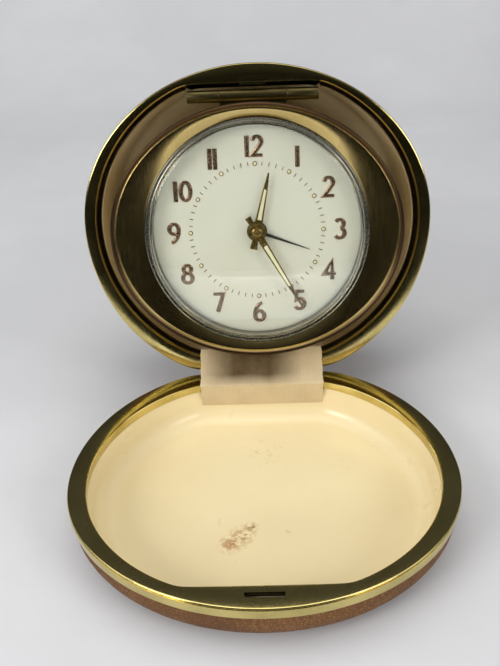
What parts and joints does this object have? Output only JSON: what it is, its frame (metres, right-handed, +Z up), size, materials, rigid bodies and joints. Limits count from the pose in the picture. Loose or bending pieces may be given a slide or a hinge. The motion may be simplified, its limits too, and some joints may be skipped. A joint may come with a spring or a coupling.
{
  "type": "travel alarm clock",
  "caption": "Folding oval travel alarm clock: a leather-covered clamshell case with brass rims, whose rear half carries a hinged wind-up clock unit and whose lid lies flat as the foot.",
  "frame": {"origin": "middle of the lid's flat underside", "axes": "+X to the clock's right as seen by its reader, +Y away from the reader, +Z up; the open lid lies on z = 0"},
  "size_m": [0.086, 0.1248, 0.086],
  "materials": {
    "rim_brass": "polished lacquered brass",
    "hinge_brass": "worn polished brass",
    "shell_steel": "plain pressed sheet",
    "leather": "fine grained leather, satin",
    "liner": "cream, semi-gloss",
    "steel": "bright steel",
    "strap": "cream backed strap, fine ribs",
    "bezel_brass": "brushed and lacquered",
    "crystal": "clear domed",
    "ring_metal": "bright polished",
    "dark_ring": "dark satin",
    "dial": "silvery cream matte",
    "gilt": "coppery gilt, polished",
    "can_brass": "satin",
    "movement_brass": "satin",
    "hand_gilt": "polished",
    "lume": "matte luminous paint",
    "alarm_black": "satin black",
    "knob_brass": "satin, knurled"
  },
  "bodies": {
    "lid": {"lid_rim": "rim_brass", "lid_shell": "shell_steel", "lid_cover": "leather", "lid_liner": "liner", "lid_hinge_leaf": "hinge_brass"},
    "catch": {"latch_catch": "steel"},
    "case": {"case_rim": "rim_brass", "case_shell": "shell_steel", "case_cover": "leather", "case_liner": "liner", "case_hinge_leaf": "hinge_brass", "case_hinge_pin": "steel", "latch_tongue": "rim_brass", "hinge_strap": "strap", "clock_hinge_leaf": "hinge_brass", "clock_hinge_pin": "steel"},
    "clock": {"clock_swing_leaf": "hinge_brass", "bezel": "bezel_brass", "crystal": "crystal", "crystal_ring": "ring_metal", "dial_ring": "dark_ring", "dial": "dial", "dial_numerals": "gilt", "dial_markers": "gilt", "clock_can": "can_brass", "back_cover": "can_brass", "front_plate": "movement_brass", "back_plate": "movement_brass", "plate_pillars": "movement_brass", "plate_screws": "steel", "mainsprings": "steel", "hairspring": "steel"},
    "minute": {"minute_hand": "hand_gilt", "minute_hand_lume": "lume", "hand_nut": "hand_gilt", "cannon_pinion": "steel"},
    "hour": {"hour_hand": "hand_gilt", "hour_hand_lume": "lume", "hour_wheel": "movement_brass"},
    "motion": {"minute_wheel": "movement_brass"},
    "set": {"set_arbor": "steel", "set_knob": "knob_brass"},
    "alarm": {"alarm_hand": "alarm_black", "alarm_wheel": "movement_brass"},
    "alarm_set": {"alarm_set_arbor": "steel", "alarm_set_knob": "knob_brass"},
    "centre": {"centre_wheel": "movement_brass"},
    "third": {"third_wheel": "movement_brass"},
    "fourth": {"fourth_wheel": "movement_brass"},
    "escape": {"escape_wheel": "movement_brass"},
    "lever": {"pallet_lever": "steel"},
    "balance": {"balance_wheel": "movement_brass"},
    "time_great": {"time_great_wheel": "movement_brass"},
    "time_wind": {"time_key": "knob_brass"},
    "alarm_great": {"alarm_great_wheel": "movement_brass"},
    "alarm_wind": {"alarm_key": "knob_brass"},
    "strike": {"strike_wheel": "movement_brass"},
    "hammer": {"alarm_hammer": "steel"},
    "regulator": {"regulator_lever": "movement_brass"},
    "stop": {"alarm_stop_button": "steel"}
  },
  "joints": [
    {"name": "case_hinge", "type": "hinge", "parent": "lid", "child": "case", "pos_m": [0, 0.03835, 0.012], "axis": [1, 0, 0], "range_deg": [-11.5, 105.1], "deforming": ["hinge_strap"]},
    {"name": "catch_slide", "type": "slide", "parent": "lid", "child": "catch", "axis": [0, 1, 0], "range_m": [0, 0.0005], "stiffness_N_per_m": 200},
    {"name": "clock_swing", "type": "hinge", "parent": "case", "child": "clock", "pos_m": [0, 0.05737, 0.07865], "axis": [1, 0, 0], "range_deg": [-80, 0]},
    {"name": "minute_spin", "type": "hinge", "parent": "clock", "child": "minute", "pos_m": [0, 0.04799, 0.04772], "axis": [0, -0.9655, 0.2605], "continuous": true},
    {"name": "hour_spin", "type": "hinge", "parent": "clock", "child": "hour", "pos_m": [0, 0.04799, 0.04772], "axis": [0, -0.9655, 0.2605], "continuous": true},
    {"name": "motion_spin", "type": "hinge", "parent": "clock", "child": "motion", "pos_m": [0.00155, 0.04648, 0.04213], "axis": [0, -0.9655, 0.2605], "continuous": true},
    {"name": "set_spin", "type": "hinge", "parent": "clock", "child": "set", "pos_m": [0.00493, 0.04496, 0.03648], "axis": [0, -0.9655, 0.2605], "continuous": true},
    {"name": "alarm_spin", "type": "hinge", "parent": "clock", "child": "alarm", "pos_m": [0, 0.04799, 0.04772], "axis": [0, -0.9655, 0.2605], "continuous": true},
    {"name": "alarm_set_spin", "type": "hinge", "parent": "clock", "child": "alarm_set", "pos_m": [-0.00243, 0.04525, 0.03756], "axis": [0, -0.9655, 0.2605], "continuous": true},
    {"name": "escape_spin", "type": "hinge", "parent": "clock", "child": "escape", "pos_m": [0.01236, 0.05155, 0.06093], "axis": [0, -0.9655, 0.2605], "continuous": true},
    {"name": "fourth_spin", "type": "hinge", "parent": "clock", "child": "fourth", "pos_m": [0.00563, 0.05131, 0.06002], "axis": [0, -0.9655, 0.2605], "continuous": true},
    {"name": "third_spin", "type": "hinge", "parent": "clock", "child": "third", "pos_m": [-0.00177, 0.05061, 0.05742], "axis": [0, -0.9655, 0.2605], "continuous": true},
    {"name": "centre_spin", "type": "hinge", "parent": "clock", "child": "centre", "pos_m": [0, 0.04799, 0.04772], "axis": [0, -0.9655, 0.2605], "continuous": true},
    {"name": "time_great_spin", "type": "hinge", "parent": "clock", "child": "time_great", "pos_m": [-0.01275, 0.0471, 0.04442], "axis": [0, -0.9655, 0.2605], "continuous": true},
    {"name": "lever_rock", "type": "hinge", "parent": "clock", "child": "lever", "pos_m": [0.01653, 0.05105, 0.05906], "axis": [0, -0.9655, 0.2605], "range_deg": [-4, 4]},
    {"name": "balance_swing", "type": "hinge", "parent": "clock", "child": "balance", "pos_m": [0.02143, 0.05045, 0.05685], "axis": [0, -0.9655, 0.2605], "range_deg": [-200, 200]},
    {"name": "time_wind", "type": "hinge", "parent": "clock", "child": "time_wind", "pos_m": [-0.01275, 0.0471, 0.04442], "axis": [0, -0.9655, 0.2605], "continuous": true},
    {"name": "alarm_wind", "type": "hinge", "parent": "clock", "child": "alarm_wind", "pos_m": [0.01275, 0.0471, 0.04442], "axis": [0, -0.9655, 0.2605], "continuous": true},
    {"name": "strike_spin", "type": "hinge", "parent": "clock", "child": "strike", "pos_m": [0.01621, 0.04432, 0.03414], "axis": [0, -0.9655, 0.2605], "continuous": true},
    {"name": "alarm_great_spin", "type": "hinge", "parent": "clock", "child": "alarm_great", "pos_m": [0.01275, 0.0471, 0.04442], "axis": [0, -0.9655, 0.2605], "continuous": true},
    {"name": "hammer_rock", "type": "hinge", "parent": "clock", "child": "hammer", "pos_m": [0.01124, 0.04345, 0.0309], "axis": [0, -0.9655, 0.2605], "range_deg": [-4, 4]},
    {"name": "regulator_turn", "type": "hinge", "parent": "clock", "child": "regulator", "pos_m": [0.02143, 0.05045, 0.05685], "axis": [0, -0.9655, 0.2605], "range_deg": [-15, 15]},
    {"name": "stop_push", "type": "slide", "parent": "clock", "child": "stop", "axis": [0, 0.9655, -0.2605], "range_m": [0, 0.002]}
  ],
  "couplings": [
    {"joint": "hour_spin", "follows": "minute_spin", "ratio": 0.083333},
    {"joint": "motion_spin", "follows": "minute_spin", "ratio": -0.33333},
    {"joint": "set_spin", "follows": "minute_spin", "ratio": 0.66667},
    {"joint": "alarm_set_spin", "follows": "alarm_spin", "ratio": -5},
    {"joint": "fourth_spin", "follows": "escape_spin", "ratio": -0.13333},
    {"joint": "third_spin", "follows": "escape_spin", "ratio": 0.016667},
    {"joint": "centre_spin", "follows": "escape_spin", "ratio": -0.0022222},
    {"joint": "time_great_spin", "follows": "escape_spin", "ratio": 0.00049383},
    {"joint": "alarm_great_spin", "follows": "strike_spin", "ratio": -0.16667}
  ]
}
